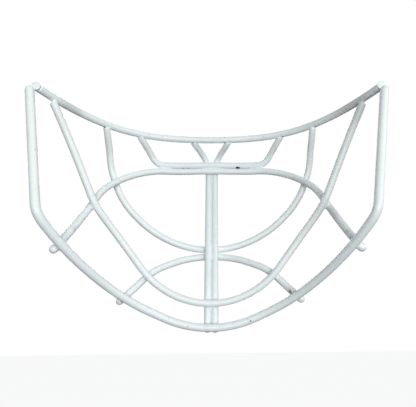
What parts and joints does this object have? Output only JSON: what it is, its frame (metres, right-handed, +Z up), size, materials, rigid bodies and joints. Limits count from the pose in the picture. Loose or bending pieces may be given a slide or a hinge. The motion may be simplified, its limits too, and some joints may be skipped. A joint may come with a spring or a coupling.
{
  "type": "hockey goalie cage",
  "caption": "Curved face cage for a goalie mask: bent round steel wires welded where they cross, coated white.",
  "frame": {"origin": "mask seat: halfway between the two straight side wires of the rim, on their plane", "axes": "+Z up as worn, +Y forward away from the face, +X towards the wearer's left"},
  "size_m": [0.2484, 0.1178, 0.1651],
  "materials": {
    "coated_wire": "satin white powder coat on round steel wire",
    "coated_weld": "satin white powder coat over weld beads"
  },
  "bodies": {
    "root": {"top_bar": "coated_wire", "rim_left": "coated_wire", "rim_right": "coated_wire", "outer_u_bar": "coated_wire", "inner_u_bar": "coated_wire", "cheek_arch_bar": "coated_wire", "chin_arch_bar": "coated_wire", "brow_bar": "coated_wire", "centre_bar_left": "coated_wire", "centre_bar_right": "coated_wire", "corner_welds": "coated_weld", "outer_u_top_welds": "coated_weld", "inner_u_top_welds": "coated_weld", "brow_top_welds": "coated_weld", "strut_top_welds": "coated_weld", "brow_seam_welds": "coated_weld", "centre_brow_weld": "coated_weld", "centre_nose_weld": "coated_weld", "centre_outer_u_weld": "coated_weld", "centre_rim_weld": "coated_weld", "arch_outer_u_welds": "coated_weld", "arch_inner_u_welds": "coated_weld", "arch_rim_welds": "coated_weld", "chin_outer_u_welds": "coated_weld", "chin_rim_welds": "coated_weld"}
  },
  "joints": []
}
